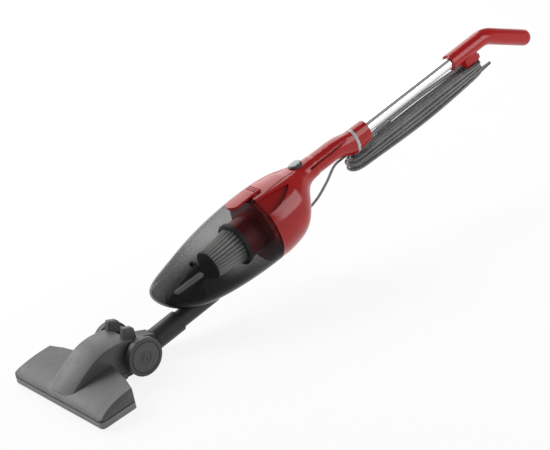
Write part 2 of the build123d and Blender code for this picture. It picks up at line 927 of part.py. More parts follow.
with BuildPart() as fan_shroud:
    add(about_motor(flange_start - shroud_height, shroud_radius, shroud_height))
    add(about_motor(flange_start - shroud_height + shroud_wall, shroud_radius - shroud_wall, shroud_height),
        mode=Mode.SUBTRACT)
    add(about_motor(flange_start - shroud_height, shroud_eye, shroud_height), mode=Mode.SUBTRACT)
save(fan_shroud.part, "fan_shroud")

with BuildPart() as motor_can:
    add(about_motor(flange_start, shroud_radius, motor_flange))
    add(about_motor(motor_start, motor_radius, can_end - motor_start))
    chamfer(motor_can.faces().sort_by(stick_axis(0))[-1].edges(), motor_chamfer)
    with BuildSketch(across(flange_start)):
        with Locations((0, hull_axis)):
            with PolarLocations(flange_hole_ring, flange_hole_count):
                Circle(flange_hole_radius)
    extrude(amount=motor_flange, mode=Mode.SUBTRACT)
    add(about_motor(flange_start, motor_shaft_radius + shaft_clearance, motor_bearing), mode=Mode.SUBTRACT)
save(motor_can.part, "motor_can")

with BuildPart() as motor_shaft:
    shaft_out = shroud_height - shroud_wall - shaft_setback
    add(about_motor(flange_start - shaft_out, motor_shaft_radius, shaft_out + motor_bearing - running_gap))
save(motor_shaft.part, "motor_shaft")

impeller_back = flange_start - impeller_gap
with BuildPart() as impeller:
    add(about_motor(impeller_back - impeller_plate, impeller_radius, impeller_plate))
    add(about_motor(impeller_back - impeller_height, impeller_hub, impeller_height))
    with BuildSketch(across(impeller_back - impeller_height)):
        with Locations((0, hull_axis)):
            with PolarLocations((impeller_radius + impeller_hub - vane_setback) / 2, vane_count):
                Rectangle(impeller_radius - impeller_hub, vane_thickness, rotation=vane_turn)
    extrude(amount=impeller_height - vane_setback)
    add(about_motor(impeller_back - impeller_height, motor_shaft_radius, impeller_height),
        mode=Mode.SUBTRACT)
save(impeller.part, "impeller")

with BuildPart() as motor_mount_front:
    with BuildSketch(across(flange_start - mount_ring)):
        with Locations((0, hull_axis)):
            Circle(cavity_radius)
            Circle(shroud_radius, mode=Mode.SUBTRACT)
    extrude(amount=mount_ring)
save(motor_mount_front.part, "motor_mount_front")

save(about_motor(can_end, mount_cap_radius, mount_depth), "motor_mount_rear")

# Latch tongue over the seam, on a pin in a pocket of the body
hull_top = hull_axis + hull_half_height * crown_share
latch_pin_height = hull_top - latch_pin_depth
latch_floor = hull_top - latch_pocket


def tongue(front, rear, half_width):
    """Plan of the tongue, round at its tip, raised through the top of the hull."""
    with BuildPart() as block:
        with BuildSketch(over(hull_axis)):
            with BuildLine():
                sides = Polyline((-half_width, front + half_width), (-half_width, rear), (half_width, rear),
                                 (half_width, front + half_width))
                ThreePointArc(sides @ 1, (0, front), sides @ 0)
            make_face()
        extrude(amount=hull_clear)
    return block.part


def grown_hull(grow):
    """Bin and body together, grown all round."""
    with BuildPart() as form:
        add(lofted(bin_stations(grow)))
        add(lofted(body_stations(grow)))
    return form.part


latch_under = grown_hull(latch_lift)
latch_skin = grown_hull(latch_lift + latch_thickness)
latch_ribbed = grown_hull(latch_lift + latch_thickness + latch_rib)
with BuildPart() as latch_ribs:
    with BuildSketch(over(hull_axis)):
        for rib in range(latch_rib_count):
            with Locations((0, latch_rear - 1.5 * latch_rib_width - latch_rib_pitch * rib)):
                Rectangle(2 * (latch_half_width - latch_rib_margin), latch_rib_width)
    extrude(amount=hull_clear)
    add(latch_ribbed, mode=Mode.INTERSECT)

with BuildPart() as latch_tongue:
    add(tongue(latch_front, latch_rear, latch_half_width))
    add(latch_skin, mode=Mode.INTERSECT)
    add(latch_ribs.part)
    add(latch_under, mode=Mode.SUBTRACT)
    with BuildSketch(over(latch_pin_height - latch_knuckle_drop)):
        with Locations((0, latch_pin_at)):
            Rectangle(2 * (latch_half_width - latch_knuckle_margin), latch_knuckle)
    extrude(amount=latch_knuckle)
    add(rod(beside(-latch_half_width), latch_pin_radius + shaft_clearance, 2 * latch_half_width,
            (latch_pin_at, latch_pin_height)), mode=Mode.SUBTRACT)
save(latch_tongue.part, "latch_tongue")

latch_pin_half = latch_half_width + latch_pin_reach
latch_pin = rod(beside(-latch_pin_half), latch_pin_radius, 2 * latch_pin_half,
                (latch_pin_at, latch_pin_height))
save(latch_pin, "latch_pin")

# Shells of the motor body, one solid cut into left and right halves
shaft_end = seam_at + body_length
scoop_way = across_x * cos(radians(scoop_turn)) + above * sin(radians(scoop_turn))
scoop_plane = Plane(origin=spot(scoop_side, seam_at, scoop_height) - scoop_way * scoop_depth, x_dir=along,
                    z_dir=scoop_way)
with BuildPart() as scoop:
    with BuildSketch(scoop_plane):
        with BuildLine():
            Polyline(*scoop_upper)
            ThreePointArc(*scoop_lower)
            Line(scoop_lower[-1], scoop_upper[0])
        make_face()
    extrude(amount=hull_clear)

gland_way = along * cos(radians(gland_tilt)) + above * sin(radians(gland_tilt))
gland_start = spot(0, cavity_end + gland_setback, gland_height)
gland_plane = Plane(origin=gland_start, x_dir=(-1, 0, 0), z_dir=gland_way)

with BuildPart() as body_shell:
    add(lofted(body_stations(0)))
    add(lofted(shaft_stations(0)))
    split(bisect_by=across(body_front), keep=Keep.TOP)
    add(about_motor(seam_at, cavity_radius, cavity_length + seam_gap), mode=Mode.SUBTRACT)
    add(scoop.part, mode=Mode.SUBTRACT)
    add(mirror(scoop.part, about=Plane.YZ, mode=Mode.PRIVATE), mode=Mode.SUBTRACT)
    with BuildSketch(over(latch_floor)):
        with Locations((0, (seam_at + latch_rear) / 2)):
            Rectangle(2 * (latch_half_width + latch_side_gap), latch_rear - seam_at + 2 * latch_end_gap)
    extrude(amount=hull_clear, mode=Mode.SUBTRACT)
    add(latch_pin, mode=Mode.SUBTRACT)
    add(slot_block(over(switch_top - switch_depth), switch_length, switch_width, hull_clear, (0, switch_at)),
        mode=Mode.SUBTRACT)
    with BuildSketch(over(switch_top - switch_depth - switch_box_depth)):
        with Locations((0, switch_at)):
            Rectangle(switch_box_width, switch_box_length)
    extrude(amount=switch_box_depth, mode=Mode.SUBTRACT)
    add(rod(gland_plane, gland_radius, gland_length), mode=Mode.SUBTRACT)
    add(rod(over(hank_top), post_radius, hook_root, (0, lower_post_at)), mode=Mode.SUBTRACT)
    with BuildSketch(over(hull_axis)):
        with Locations((0, seam_at + vent_middle)):
            with GridLocations(vent_pitch, vent_pitch, vent_count, 1):
                SlotOverall(vent_length, vent_width, rotation=90)
    extrude(amount=-hull_clear, mode=Mode.SUBTRACT)
    for side in (-1, 1):
        with BuildSketch(over(groove_height)):
            with Locations((side * (groove_floor + flare_half_width), (groove_start + shaft_end) / 2)):
                Rectangle(2 * flare_half_width, shaft_end - groove_start)
        extrude(amount=groove_width, mode=Mode.SUBTRACT)

for label, keep in (("body_shell_right", Keep.TOP), ("body_shell_left", Keep.BOTTOM)):
    with BuildPart() as half:
        add(body_shell.part)
        split(bisect_by=Plane.YZ, keep=keep)
    save(half.part, label)

# Top spine over the joint of the shells
with BuildPart() as top_spine:
    with BuildSketch(over(hull_axis)):
        with BuildLine():
            Polyline((-spine_half_width, body_front), (spine_half_width, body_front),
                     (spine_half_width, seam_at + spine_shoulder), (spine_half_width / 2, spine_end),
                     (-spine_half_width / 2, spine_end), (-spine_half_width, seam_at + spine_shoulder),
                     close=True)
        make_face()
    extrude(amount=hull_clear)
    add(lofted(body_stations(spine_rise)), mode=Mode.INTERSECT)
    add(lofted(body_stations(0)), mode=Mode.SUBTRACT)
    add(tongue(latch_front, latch_rear + latch_end_gap, latch_half_width + latch_side_gap),
        mode=Mode.SUBTRACT)
    add(scoop.part, mode=Mode.SUBTRACT)
    add(mirror(scoop.part, about=Plane.YZ, mode=Mode.PRIVATE), mode=Mode.SUBTRACT)
save(top_spine.part, "top_spine")

# Power switch: bezel, button and the switch under it
bezel_floor = switch_top - switch_depth
with BuildPart() as switch_bezel:
    add(slot_block(over(bezel_floor), switch_length, switch_width, switch_depth, (0, switch_at)))
    fillet(switch_bezel.faces().sort_by(Axis(spot(0, 0, 0), above))[-1].edges(), bezel_round)
    add(slot_block(over(bezel_floor + bezel_base), button_length + 2 * running_gap,
                   button_width + 2 * running_gap, switch_depth, (0, switch_at)), mode=Mode.SUBTRACT)
save(switch_bezel.part, "switch_bezel")

button_bottom = bezel_floor + bezel_base + button_travel + seam_gap
with BuildPart() as power_button:
    button_height = switch_top + button_rise - button_bottom
    add(slot_block(over(button_bottom), button_length, button_width, button_height, (0, switch_at)))
    fillet(power_button.faces().sort_by(Axis(spot(0, 0, 0), above))[-1].edges(), button_round)
save(power_button.part, "power_button")

with BuildPart() as switch_box:
    with BuildSketch(over(bezel_floor - switch_box_depth)):
        with Locations((0, switch_at)):
            Rectangle(switch_box_width, switch_box_length)
    extrude(amount=switch_box_depth)
save(switch_box.part, "switch_box")

# Extension: grey ring, red collar, chrome tube and the bent handle
with BuildPart() as joint_ring:
    extrude(crowned(shaft_end, flare_axis, flare_half_height + ring_rise, flare_half_width + ring_rise),
            amount=ring_length, dir=along)
save(joint_ring.part, "joint_ring")

collar_start = shaft_end + ring_length
collar_end = collar_start + collar_length
chrome_start = collar_end - chrome_seat
with BuildPart() as extension_collar:
    loft([crowned(collar_start, flare_axis, flare_half_height, flare_half_width),
          crowned(collar_end, collar_axis, collar_half_height, collar_half_width)])
    add(rod(across(chrome_start), chrome_radius, 2 * chrome_seat, (0, chrome_axis)), mode=Mode.SUBTRACT)
save(extension_collar.part, "extension_collar")

chrome_end = handle_start + handle_socket
bracket_bottom = hank_top + flange_thickness + seam_gap
cord_step = 2 * cord_radius + cord_gap
hank_bottom = hank_top - cord_gap - cord_step * layer_count
with BuildPart() as chrome_tube:
    with BuildSketch(across(chrome_start)):
        with Locations((0, chrome_axis)):
            Circle(chrome_radius)
            Circle(chrome_radius - chrome_wall, mode=Mode.SUBTRACT)
    extrude(amount=chrome_end - chrome_start)
save(chrome_tube.part, "chrome_tube")

with BuildPart() as top_handle:
    with BuildLine(beside(0)) as handle_line:
        straight = Line((handle_start, chrome_axis), (handle_start + handle_straight, chrome_axis))
        bend = JernArc(straight @ 1, (1, 0), grip_bend, -grip_turn)
        grip = Line(bend @ 1, (bend @ 1) + (bend % 1) * grip_length)
    with BuildSketch(across(handle_start)):
        with Locations((0, chrome_axis)):
            Circle(grip_radius)
    sweep(path=handle_line.wires()[0])
    with Locations(handle_line.wires()[0] @ 1):
        Sphere(grip_radius)
    with BuildSketch(over(bracket_bottom)):
        with Locations((0, upper_post_at)):
            RectangleRounded(2 * bracket_half_width, bracket_length, bracket_round)
    extrude(amount=chrome_axis - chrome_radius - chrome_cover - bracket_bottom)
    add(rod(across(handle_start), chrome_radius, handle_socket, (0, chrome_axis)), mode=Mode.SUBTRACT)
    add(rod(over(hank_top), post_radius + shaft_clearance, hook_root, (0, upper_post_at)),
        mode=Mode.SUBTRACT)
save(top_handle.part, "top_handle")

# Cord hooks, with room between their roots and their tips for the hank
with BuildPart() as lower_hook:
    add(rod(over(hank_bottom), post_radius, hank_top + hook_root - hank_bottom, (0, lower_post_at)))
save(lower_hook.part, "lower_hook")

with BuildPart() as hook_tip:
    with Locations(spot(0, lower_post_at, hank_bottom - hook_tip_sink)):
        Sphere(hook_tip_radius)
    split(bisect_by=over(hank_bottom), keep=Keep.BOTTOM)
save(hook_tip.part, "hook_tip")

toe_bottom = hank_bottom - hook_thickness
finger_at = upper_post_at + finger_reach
with BuildPart() as upper_hook:
    add(rod(over(toe_bottom), post_radius, hank_top + hook_root - seam_gap - toe_bottom, (0, upper_post_at)))
    with BuildSketch(over(toe_bottom)):
        with BuildLine():
            Polyline((hook_half_width, upper_post_at), (hook_toe_width, upper_post_at + hook_toe),
                     (-hook_toe_width, upper_post_at + hook_toe), (-hook_half_width, upper_post_at))
            ThreePointArc((-hook_half_width, upper_post_at), (0, upper_post_at - hook_half_width),
                          (hook_half_width, upper_post_at))
        make_face()
    extrude(amount=hook_thickness)
    with BuildSketch(over(hank_top)):
        with Locations((0, upper_post_at)):
            Circle(hook_half_width)
        with Locations((0, upper_post_at + finger_reach / 2)):
            Rectangle(hook_half_width, finger_reach)
    extrude(amount=flange_thickness)
    with BuildSketch(over(hank_top)):
        with Locations((0, finger_at)):
            Rectangle(hook_half_width, finger_thickness)
    extrude(amount=finger_height)
save(upper_hook.part, "upper_hook")

# Cord gland at the back of the body
with BuildPart() as cord_gland:
    with BuildSketch(gland_plane):
        Circle(gland_radius)
    extrude(amount=gland_root)
    with BuildSketch(gland_plane.offset(gland_root)) as gland_base:
        Circle(gland_radius)
    with BuildSketch(gland_plane.offset(gland_length)) as gland_tip:
        Circle(gland_tip_radius)
    loft([gland_base.sketch, gland_tip.sketch])
    add(rod(gland_plane.offset(gland_length - cord_seat), cord_radius, cord_seat), mode=Mode.SUBTRACT)
save(cord_gland.part, "cord_gland")

# Hank: one unbroken cord wound round both posts, in layers that spiral in and out again
inner_turn = post_radius + running_gap + cord_radius
middle = (lower_post_at + upper_post_at) / 2
quarters = 4 * loops_per_layer
waypoints = []
for quarter in range(quarters * layer_count):
    layer, place = divmod(quarter, quarters)
    lane = (quarters - 1 - place) / 4 if layer % 2 == 0 else place / 4
    height = hank_top - cord_gap - cord_radius - cord_step * layer
    turn = inner_turn + cord_step * lane
    waist = hank_waist + waist_step * lane
    waypoints.append([
        (spot(-waist, middle, height), along, turn),
        (spot(0, upper_post_at + turn, height), across_x, turn),
        (spot(waist, middle, height), -along, turn),
        (spot(0, lower_post_at - turn, height), -across_x, turn),
    ][quarter % 4])


def quarter_turn(start, end, reach, tight_start):
    """Two tangent arcs between waypoints: the tight one round a post has tangents of length reach."""
    span = end[0] - start[0]
    turning = 1 - start[1].dot(end[1])
    if tight_start:
        first = reach
        last = (span.dot(span) / 2 - first * span.dot(start[1])) / (span.dot(end[1]) + first * turning)
    else:
        last = reach
        first = (span.dot(span) / 2 - last * span.dot(end[1])) / (span.dot(start[1]) + last * turning)
    before = start[0] + start[1] * first
    after = end[0] - end[1] * last
    joint = (before * last + after * first) / (first + last)
    TangentArc(start[0], joint, tangent=start[1])
    TangentArc(joint, end[0], tangent=(after - before).normalized())


hank_start = spot(-lead_side, lower_post_at - lead_stop, hank_top - cord_gap - cord_radius)
plug_end = spot(-plug_side, plug_at, plug_height)
lead_in = along * 2 * cord_radius
with BuildLine() as hank_line:
    Line(hank_start, hank_start + lead_in)
    quarter_turn((hank_start + lead_in, along), waypoints[0], lead_reach, True)
    for start, end in zip(waypoints, waypoints[1:]):
        at_post = abs(start[1].dot(along)) < 0.5
        quarter_turn(start, end, start[2] * post_share if at_post else end[2] * post_share, at_post)
    quarter_turn(waypoints[-1], (plug_end - lead_in, along), waypoints[-1][2] * post_share, True)
    Line(plug_end - lead_in, plug_end)
hank_wire = hank_line.wires()[0]
with BuildPart() as cord_hank:
    with BuildSketch(Plane(origin=hank_wire @ 0, x_dir=across_x, z_dir=hank_wire % 0)):
        RegularPolygon(cord_radius, cord_sides)
    sweep(path=hank_wire)
save(cord_hank.part, "cord_hank")

section_area = cord_sides / 2 * cord_radius ** 2 * sin(2 * pi / cord_sides)
samples = 1600
points = [hank_wire.position_at(index / samples) for index in range(samples + 1)]
apart = int(samples * 8 * cord_radius / hank_wire.length) + 1
least = min((points[i] - points[j]).length for i in range(samples) for j in range(i + apart, samples + 1))
print("hank length", round(hank_wire.length), "least gap", round(least - 2 * cord_radius, 2),
      "volume share", round(cord_hank.part.volume / (section_area * hank_wire.length), 4))

# Lead from the gland to the hank
lead_points = [gland_start + gland_way * (gland_length - cord_seat)]
lead_points += [gland_start + gland_way * (gland_length + gland_lead)]
lead_points += [spot(x, u, n) for x, u, n in lead_route]
lead_points += [hank_start - along * lead_reach, hank_start]
corner_radii = []
for before, corner, after in zip(lead_points, lead_points[1:], lead_points[2:]):
    run_in = corner - before
    run_out = after - corner
    shorter = min(run_in.length, run_out.length)
    corner_radii.append(corner_share * shorter / tan(radians(run_in.get_angle(run_out)) / 2))
print("lead radii", [round(radius) for radius in corner_radii])
with BuildLine() as lead_line:
    FilletPolyline(*lead_points, radius=corner_radii)
lead_wire = lead_line.wires()[0]
with BuildPart() as cord_lead:
    with BuildSketch(Plane(origin=lead_wire @ 0, x_dir=across_x, z_dir=lead_wire % 0)):
        Circle(cord_radius)
    sweep(path=lead_wire)
print("lead length", round(lead_wire.length),
      "volume share", round(cord_lead.part.volume / (pi * cord_radius ** 2 * lead_wire.length), 4))
save(cord_lead.part, "cord_lead")

# Plug on the far side of the hank
plug_plane = Plane(origin=plug_end, x_dir=across_x, z_dir=along)
with BuildPart() as plug_body:
    with BuildSketch(plug_plane) as plug_tail:
        Circle(plug_tail_radius)
    with BuildSketch(plug_plane.offset(plug_length / 2)) as plug_waist:
        RectangleRounded(1.5 * plug_radius, plug_radius, plug_round)
    with BuildSketch(plug_plane.offset(plug_length)) as plug_face:
        RectangleRounded(2 * plug_radius, 1.1 * plug_radius, plug_round)
    loft([plug_tail.sketch, plug_waist.sketch])
    loft([plug_waist.sketch, plug_face.sketch])
save(plug_body.part, "plug_body")

with BuildPart() as plug_prongs:
    with BuildSketch(plug_plane.offset(plug_length)):
        with GridLocations(2 * prong_spread, 1, 2, 1):
            Circle(prong_radius)
    extrude(amount=prong_length)
    chamfer(plug_prongs.faces().group_by(stick_axis(0))[-1].edges(), prong_chamfer)
save(plug_prongs.part, "plug_prongs")
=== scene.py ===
"""Looks of an upright vacuum cleaner: finishes, a wound cord, small fittings and a studio."""
import json
import math

import bmesh
import bpy
from mathutils import Euler, Matrix, Vector


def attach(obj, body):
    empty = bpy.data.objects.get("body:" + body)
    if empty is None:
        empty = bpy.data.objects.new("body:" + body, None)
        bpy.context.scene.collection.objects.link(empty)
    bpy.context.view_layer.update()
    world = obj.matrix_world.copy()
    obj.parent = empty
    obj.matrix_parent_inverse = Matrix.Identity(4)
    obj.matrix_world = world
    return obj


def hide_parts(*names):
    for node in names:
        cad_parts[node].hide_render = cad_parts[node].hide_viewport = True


bl_info = {
    "name": "Upright Vacuum Cleaner",
    "version": (1, 0, 0),
    "blender": (4, 5, 0),
    "location": "View3D > Sidebar > Cleaner",
    "description": "Finishes, cord, fittings and stage for an upright vacuum cleaner",
    "category": "Object",
}

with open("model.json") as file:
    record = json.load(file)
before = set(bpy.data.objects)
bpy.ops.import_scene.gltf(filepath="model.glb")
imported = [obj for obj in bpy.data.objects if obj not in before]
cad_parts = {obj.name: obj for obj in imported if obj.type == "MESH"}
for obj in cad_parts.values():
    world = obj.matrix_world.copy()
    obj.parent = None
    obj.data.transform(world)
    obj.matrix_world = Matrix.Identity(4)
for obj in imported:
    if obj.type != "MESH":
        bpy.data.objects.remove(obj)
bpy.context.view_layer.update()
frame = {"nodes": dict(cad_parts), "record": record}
nodes = frame["nodes"]
record = frame["record"]
bodies = {node: body for body, group in record["behaviour"]["bodies"].items() for node in group}

# A millimetre, the distance within which points merge, the angle past which an edge is sharp, and a colour
MM = 0.001
MERGED = 1e-6
CREASE = math.radians(38)
BLACK = (0.03, 0.03, 0.031)

# The stick's own directions: along it from the axle to the handle, and above it
AXLE = Vector((0.0, 0.093, 0.0335))
TILT = math.radians(10.7)
ALONG = Vector((0.0, math.cos(TILT), math.sin(TILT)))
ABOVE = Vector((0.0, -math.sin(TILT), math.cos(TILT)))
SIDE = Vector((1.0, 0.0, 0.0))


def stick(x, u, n):
    """Point x to the side of the stick, u along it from the axle and n above it, in millimetres."""
    return AXLE + (SIDE * x + ALONG * u + ABOVE * n) * MM


# Shader expressions
class Wire:
    """A shader socket that can stand in a Python expression."""

    def __init__(self, finish, socket):
        self.finish = finish
        self.socket = socket

    def _math(self, operation, *values):
        return self.finish.node("Math", {"operation": operation}, dict(enumerate(values)))

    def __add__(self, other):
        return self._math("ADD", self, other)

    def __sub__(self, other):
        return self._math("SUBTRACT", self, other)

    def __rsub__(self, other):
        return self._math("SUBTRACT", other, self)

    def __mul__(self, other):
        return self._math("MULTIPLY", self, other)

    def __pow__(self, other):
        return self._math("POWER", self, other)

    def __abs__(self):
        return self._math("ABSOLUTE", self)

    __radd__ = __add__
    __rmul__ = __mul__

    def most(self, other):
        """The larger of two values."""
        return self._math("MAXIMUM", self, other)

    def wave(self):
        """Sine of an angle in radians."""
        return self._math("SINE", self)

    def ease(self, low, high):
        """0 below low, 1 above high and a smooth step between."""
        return self.finish.node("MapRange", {"interpolation_type": "SMOOTHSTEP"},
                                {"Value": self, "From Min": low, "From Max": high})


class Finish:
    """A node tree, of a material or of the world, that is put together from expressions."""

    def __init__(self, name, kind="materials"):
        self.material = getattr(bpy.data, kind).new(name)
        self.material.use_nodes = True
        self.tree = self.material.node_tree
        self.tree.nodes.clear()

    def node(self, kind, settings=None, inputs=None, output=0):
        """Add a node, set it up, feed its sockets and return one of its outputs."""
        made = self.tree.nodes.new("ShaderNode" + kind)
        for key, value in (settings or {}).items():
            setattr(made, key, value)
        for key, value in (inputs or {}).items():
            if isinstance(value, Wire):
                self.tree.links.new(value.socket, made.inputs[key])
            else:
                made.inputs[key].default_value = value
        return Wire(self, made.outputs[output]) if made.outputs else made

    def place(self, centre=(0, 0, 0), turn=(0, 0, 0), scale=(1, 1, 1)):
        """Object coordinates, moved, turned and stretched."""
        spot = self.node("TexCoord", output="Object")
        if centre == (0, 0, 0) and turn == (0, 0, 0) and scale == (1, 1, 1):
            return spot
        return self.node("Mapping", {"vector_type": "TEXTURE"},
                         {"Vector": spot, "Location": centre, "Rotation": turn, "Scale": scale})

    def along_stick(self, scale=(1, 1, 1)):
        """Coordinates whose Y runs along the stick from the axle and whose Z stands above it."""
        return self.place(tuple(AXLE), (TILT, 0, 0), scale)

    def split(self, vector):
        """The three parts of a vector."""
        parts = self.node("SeparateXYZ", None, {0: vector})
        return [Wire(self, output) for output in parts.socket.node.outputs]

    def ray(self, kind):
        """1 for rays of one kind, such as Camera or Glossy."""
        return self.node("LightPath", output=f"Is {kind} Ray")

    def noise(self, vector, scale, detail=2.0):
        """Cloudy noise with scale features to the metre."""
        return self.node("TexNoise", None, {"Vector": vector, "Scale": scale, "Detail": detail})

    def cells(self, vector, scale):
        """Rounded cells, scale of them to the metre."""
        return self.node("TexVoronoi", {"feature": "SMOOTH_F1"}, {"Vector": vector, "Scale": scale})

    def mix(self, factor, first, second):
        """Colour that goes from first to second."""
        def rgba(colour):
            return colour if isinstance(colour, Wire) else (*colour[:3], 1.0)
        return self.node("Mix", {"data_type": "RGBA"}, {0: factor, 6: rgba(first), 7: rgba(second)}, 2)

    def bump(self, height, strength, distance):
        """Normal of a relief that is distance metres deep."""
        return self.node("Bump", None, {"Height": height, "Strength": strength, "Distance": distance})

    def surface(self, **sockets):
        """Close the tree with a principled shader, given its sockets with underscores for spaces."""
        inputs = {}
        for key, value in sockets.items():
            if isinstance(value, tuple) and len(value) == 3:
                value = (*value, 1.0)
            inputs[key.replace("_", " ")] = value
        shader = self.node("BsdfPrincipled", None, inputs)
        self.node("OutputMaterial", None, {"Surface": shader})
        return self.material


def shade(colour, amount):
    """A colour made lighter or darker."""
    return tuple(min(1.0, part * amount) for part in colour[:3])


# Finishes, with places and depths in metres
def grained_moulding(name, colour, roughness, depth=0.22, seam=None):
    """Satin plastic with a spark-eroded grain, mottled slightly, and with painted shade in the seam at a
    given height.
    """
    f = Finish(name)
    place = f.place()
    mottle = f.noise(place, 28.0, 3.0).ease(0.3, 0.7)
    grain = f.cells(place, 1500.0)
    fine = f.noise(place, 2600.0, 1.0)
    base = f.mix(mottle, shade(colour, 0.93), shade(colour, 1.08))
    if seam:
        # Painted shade: the colour darkens to a thin line in the seam gap at the given height.
        clear_of_painted_seam_shade = abs(f.split(place)[2] - seam).ease(0.0008, 0.0014)
        base = f.mix(clear_of_painted_seam_shade, shade(colour, 0.12), base)
    rubbed = f.noise(place, 60.0, 4.0).ease(0.35, 0.7)
    return f.surface(Base_Color=base, Roughness=roughness - 0.05 + rubbed * 0.08 + fine * 0.04,
                     Normal=f.bump(grain * 0.7 + fine * 0.3, depth, 0.00025), Specular_IOR_Level=0.3)


def polished_moulding(name, colour, roughness, seam=False):
    """Glossy plastic with faint flow marks, hairline scratches and, if asked, a seam at mid-width darkened
    with painted shade.
    """
    f = Finish(name)
    place = f.place()
    flow = f.noise(f.place(scale=(1.0, 4.0, 1.0)), 34.0, 3.0).ease(0.25, 0.75)
    hair = f.noise(f.place(turn=(0.5, 0.3, 0.2), scale=(1.0, 0.02, 1.0)), 900.0, 2.0)
    base = f.mix(flow, shade(colour, 0.94), shade(colour, 1.06))
    wear = hair.ease(0.62, 0.72) * f.noise(place, 22.0, 2.0).ease(0.45, 0.7)
    rough = roughness + wear * 0.1 + flow * 0.02
    relief = f.noise(place, 55.0, 1.0) * 0.5
    if seam:
        # Painted shade: the colour darkens along the seam gap at mid-width, where the relief also dips.
        clear_of_painted_seam_shade = abs(f.split(place)[0]).ease(0.00008, 0.0004)
        base = f.mix(clear_of_painted_seam_shade, shade(colour, 0.25), base)
        relief = relief + clear_of_painted_seam_shade
    return f.surface(Base_Color=base, Roughness=rough, Normal=f.bump(relief, 0.08, 0.0004),
                     Specular_IOR_Level=0.32, Coat_Weight=0.08, Coat_Roughness=0.05)


def smoked_clear(name, colour, upper, lower, rim):
    """Smoked clear plastic, denser in front, underneath and where it is seen edge on, with hairlines."""
    upper_thins, upper_loss = (0.14, 0.22), 0.2
    lower_thins, lower_loss = (0.215, 0.27), 0.3
    wall_heights = (-0.005, 0.035)
    f = Finish(name)
    place = f.place()
    run, rise = f.split(f.along_stick())[1:]
    edge_on = f.node("LayerWeight", None, {"Blend": 0.5}, "Facing")
    haze = f.noise(place, 75.0, 5.0).ease(0.5, 0.8)
    hair = f.noise(f.place(turn=(0.4, 0.2, 0.9), scale=(1.0, 0.015, 1.0)), 700.0, 2.0).ease(0.66, 0.74)
    base = f.mix(haze * 0.5, colour, shade(colour, 1.5))
    shadow = f.ray("Shadow")
    under = lower - run.ease(*lower_thins) * lower_loss
    over = upper - run.ease(*upper_thins) * upper_loss
    smoke = under - rise.ease(*wall_heights) * (under - over)
    return f.surface(Base_Color=base, Roughness=0.13 + hair * 0.1 + haze * 0.03,
                     Alpha=(smoke + edge_on ** 5.0 * rim + haze * 0.02) * (1 - shadow * 0.95),
                     Normal=f.bump(f.noise(place, 40.0, 1.0), 0.05, 0.0006), Specular_IOR_Level=0.06)


def pleated_paper(name, colour):
    """Filter cloth on pleats: pale on the crests, with painted shade in the valleys, and a fibrous surface.
    """
    cone_rise, cone_start, valley_radius, taper, pleat_depth = 0.030, 0.200, 0.0215, 0.1167, 0.0045
    f = Finish(name)
    place = f.along_stick()
    across, run, rise = f.split(place)
    reach = (across ** 2.0 + (rise - cone_rise) ** 2.0) ** 0.5
    clear_of_painted_valley_shade = (reach - taper * (run - cone_start) - valley_radius).ease(0.0, pleat_depth)
    fibre = f.noise(f.place(scale=(1.0, 0.25, 1.0)), 1500.0, 4.0)
    lint = f.noise(place, 160.0, 4.0).ease(0.5, 0.72)
    # Painted shade: the valleys between the pleats are darkened to 0.42 of the cloth colour.
    base = f.mix(clear_of_painted_valley_shade, shade(colour, 0.42), colour)
    base = f.mix(lint * 0.35, base, shade(colour, 0.55))
    return f.surface(Base_Color=base, Roughness=0.85 + fibre * 0.1, Normal=f.bump(fibre, 0.4, 0.0004),
                     Specular_IOR_Level=0.2)


def plated(name, colour, roughness, streak):
    """Bright metal with a trace of polish marks along the stick and a few dull spots."""
    f = Finish(name)
    place = f.along_stick()
    marks = f.noise(f.along_stick(scale=(1.0, 0.01, 1.0)), 1800.0, 2.0)
    dull = f.noise(place, 45.0, 4.0).ease(0.58, 0.8)
    base = f.mix(dull * 0.35, colour, shade(colour, 0.82))
    return f.surface(Base_Color=base, Metallic=1.0, Roughness=roughness + dull * 0.06 + marks * streak,
                     Normal=f.bump(marks, 0.03 + streak, 0.0001))


def soft_rubber(name, colour, roughness=0.72):
    """Matt rubber with bloom and a pitted skin."""
    f = Finish(name)
    place = f.place()
    bloom = f.noise(place, 90.0, 4.0).ease(0.4, 0.75)
    pits = f.noise(place, 1700.0, 2.0)
    base = f.mix(bloom, colour, shade(colour, 1.45))
    return f.surface(Base_Color=base, Roughness=roughness + pits * 0.1, Normal=f.bump(pits, 0.25, 0.0002),
                     Specular_IOR_Level=0.3)


def cord_sheath(name, colour):
    """Cord sheath: satin, with patches of handling shine and a faint twist of the cores."""
    twists = 320.0
    f = Finish(name)
    run, around, _ = f.split(f.node("TexCoord", output="UV"))
    place = f.place()
    shine = f.noise(place, 26.0, 4.0).ease(0.3, 0.7)
    fine = f.noise(place, 1900.0, 2.0)
    twist = ((around + run * twists) * (2 * math.pi)).wave()
    base = f.mix(shine, shade(colour, 0.85), shade(colour, 1.3))
    return f.surface(Base_Color=base, Roughness=0.42 + shine * 0.14 + fine * 0.05,
                     Normal=f.bump(twist * 0.25 + fine, 0.14, 0.0002), Specular_IOR_Level=0.5)


def lint_pile(name, colour):
    """Short pile that leans one way, paler at its tips."""
    f = Finish(name)
    tuft = f.noise(f.place(scale=(1.0, 0.4, 1.0)), 1300.0, 3.0)
    base = f.mix(tuft.ease(0.3, 0.75), shade(colour, 0.55), shade(colour, 1.35))
    return f.surface(Base_Color=base, Roughness=0.9, Normal=f.bump(tuft, 0.7, 0.0006),
                     Specular_IOR_Level=0.15, Sheen_Weight=0.4, Sheen_Roughness=0.4)


